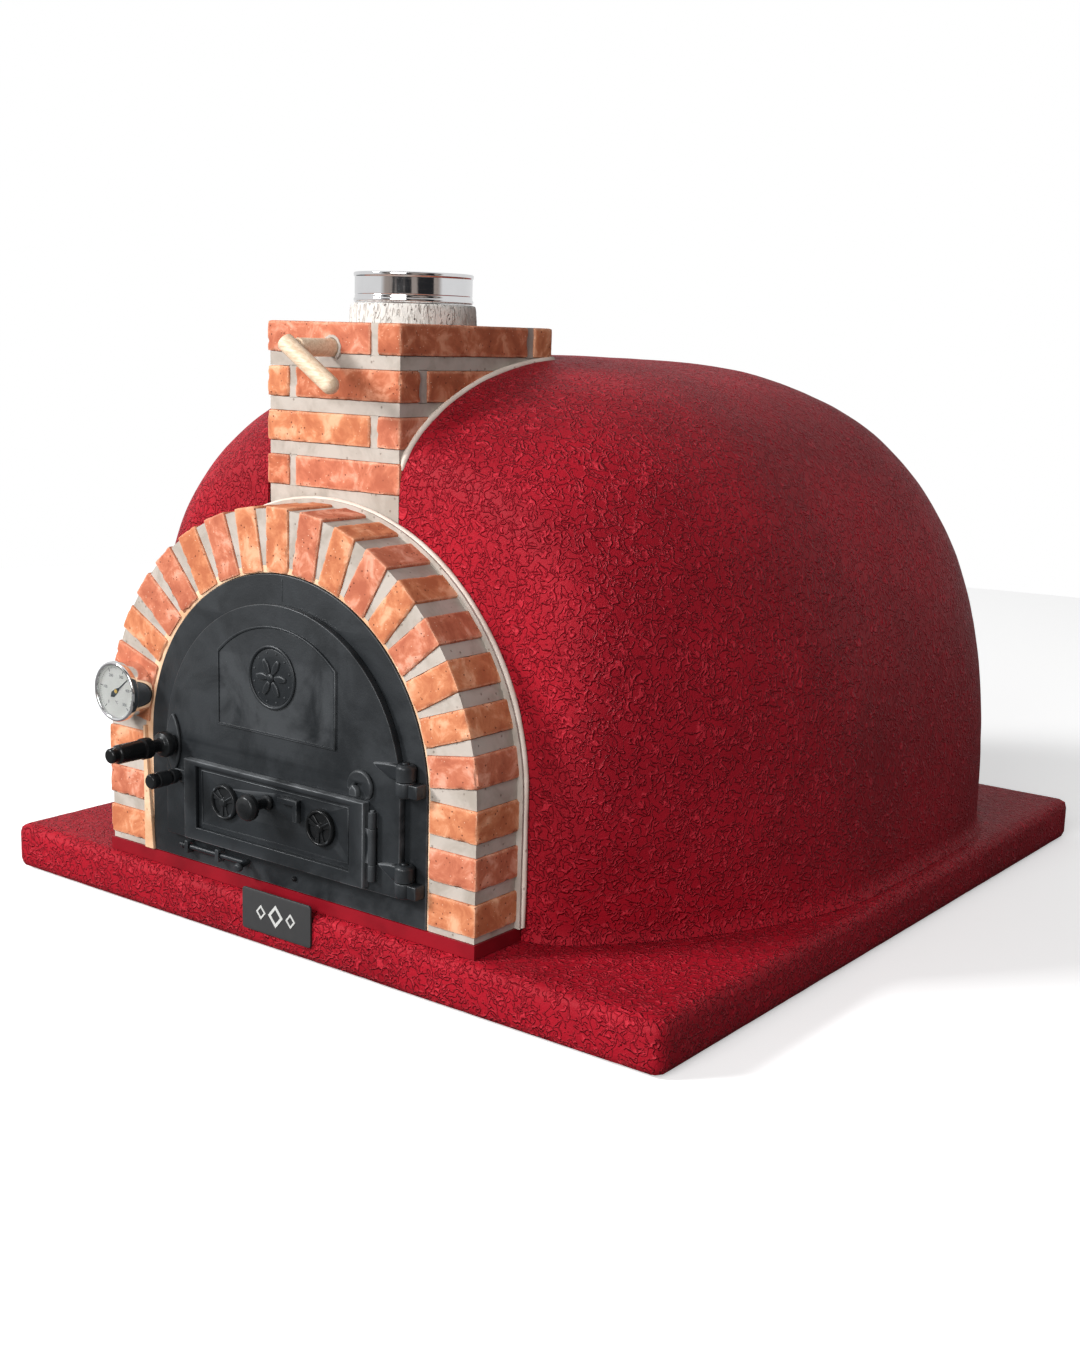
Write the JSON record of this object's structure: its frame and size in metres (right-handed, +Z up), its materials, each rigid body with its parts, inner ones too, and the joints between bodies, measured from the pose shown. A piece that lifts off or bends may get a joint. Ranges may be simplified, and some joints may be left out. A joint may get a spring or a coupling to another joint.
{
  "type": "wood fired pizza oven",
  "caption": "Wood fired pizza oven: domed masonry shell on a slab, brick arch with hinged iron door and air hatch, latches, thermometer, brick chimney with flue damper.",
  "frame": {"origin": "centre of the slab's underside, where the oven stands", "axes": "+X to the right as seen from the front, +Y towards the back, +Z up; the door faces -Y"},
  "size_m": [1.1, 1.3021, 0.8416],
  "materials": {
    "red_stucco": "rough trowelled crimson masonry render",
    "plinth_paint": "smooth dark red painted cement",
    "brick": "matt rustic clay brick with pits and pale swirls",
    "mortar": "pale smooth pointed mortar",
    "terracotta": "pale fired clay",
    "firebrick": "matt refractory",
    "ceramic_fibre": "soft white insulation wool",
    "cast_iron": "satin black stove paint over cast iron",
    "black_paint": "satin black",
    "polished_steel": "polished stainless",
    "beech": "bare sanded beech",
    "dial_enamel": "white dial",
    "gauge_glass": "clear flat glass",
    "plate_black": "matt dark plate with a plain raised ornament"
  },
  "bodies": {
    "oven": {"base_slab": "red_stucco", "base_plinth": "plinth_paint", "hearth_floor": "firebrick", "inner_dome": "firebrick", "insulation_blanket": "ceramic_fibre", "outer_render": "red_stucco", "arch_mortar_left": "mortar", "arch_mortar_right": "mortar", "arch_brick_01": "brick", "arch_brick_02": "brick", "arch_brick_03": "brick", "arch_brick_04": "brick", "arch_brick_05": "brick", "arch_brick_06": "brick", "arch_brick_07": "brick", "arch_brick_08": "brick", "arch_brick_09": "brick", "arch_brick_10": "brick", "arch_brick_11": "brick", "arch_brick_12": "brick", "arch_brick_13": "brick", "arch_brick_14": "brick", "arch_brick_15": "brick", "arch_brick_16": "brick", "arch_brick_17": "brick", "arch_brick_18": "brick", "arch_brick_19": "brick", "arch_brick_20": "brick", "arch_brick_21": "brick", "arch_brick_22": "brick", "arch_brick_23": "brick", "mouth_liner": "terracotta", "chimney_mortar": "mortar", "chimney_course_1": "brick", "chimney_course_2": "brick", "chimney_course_3": "brick", "chimney_course_4": "brick", "flue_collar": "mortar", "flue_pipe": "polished_steel", "door_frame": "cast_iron", "hinge_pin_lower": "cast_iron", "hinge_pin_upper": "cast_iron", "gauge_case": "polished_steel", "gauge_dial": "dial_enamel", "gauge_glass": "gauge_glass", "name_plate": "plate_black"},
    "door": {"door_leaf": "cast_iron", "vent_door_pin": "cast_iron"},
    "vent_door": {"vent_door": "cast_iron", "vent_door_handle": "black_paint"},
    "air_disc_left": {"air_disc_left": "cast_iron"},
    "air_disc_right": {"air_disc_right": "cast_iron"},
    "latch": {"latch_handle": "black_paint", "latch_cam": "cast_iron"},
    "vent_latch": {"vent_latch_knob": "black_paint"},
    "slide_bolt": {"slide_bolt": "cast_iron"},
    "damper": {"damper_rod": "beech", "damper_plate": "cast_iron", "damper_crank": "beech"},
    "gauge_needle": {"gauge_needle": "black_paint"}
  },
  "joints": [
    {"name": "door_hinge", "type": "hinge", "parent": "oven", "child": "door", "pos_m": [0.186, -0.5958, 0.2], "axis": [0, 0, 1], "range_deg": [0, 105]},
    {"name": "vent_door_hinge", "type": "hinge", "parent": "door", "child": "vent_door", "pos_m": [0.139, -0.6011, 0.1738], "axis": [0, 0, 1], "range_deg": [0, 90]},
    {"name": "air_disc_left_turn", "type": "hinge", "parent": "vent_door", "child": "air_disc_left", "pos_m": [-0.11, -0.604, 0.1813], "axis": [0, 1, 0], "continuous": true},
    {"name": "air_disc_right_turn", "type": "hinge", "parent": "vent_door", "child": "air_disc_right", "pos_m": [0.058, -0.604, 0.1813], "axis": [0, 1, 0], "continuous": true},
    {"name": "latch_turn", "type": "hinge", "parent": "door", "child": "latch", "pos_m": [-0.212, -0.59, 0.2403], "axis": [0, 1, 0], "range_deg": [0, 90]},
    {"name": "vent_latch_turn", "type": "hinge", "parent": "vent_door", "child": "vent_latch", "pos_m": [-0.034, -0.6, 0.1953], "axis": [0, 1, 0], "range_deg": [0, 90]},
    {"name": "slide_bolt_slide", "type": "slide", "parent": "oven", "child": "slide_bolt", "axis": [1, 0, 0], "range_m": [-0.02, 0.015]},
    {"name": "damper_turn", "type": "hinge", "parent": "oven", "child": "damper", "pos_m": [-0.028, -0.4, 0.7473], "axis": [0, 1, 0], "range_deg": [-33, 57]},
    {"name": "gauge_needle_turn", "type": "hinge", "parent": "oven", "child": "gauge_needle", "pos_m": [-0.301, -0.61, 0.297], "axis": [0, 1, 0], "range_deg": [-135, 135]}
  ]
}
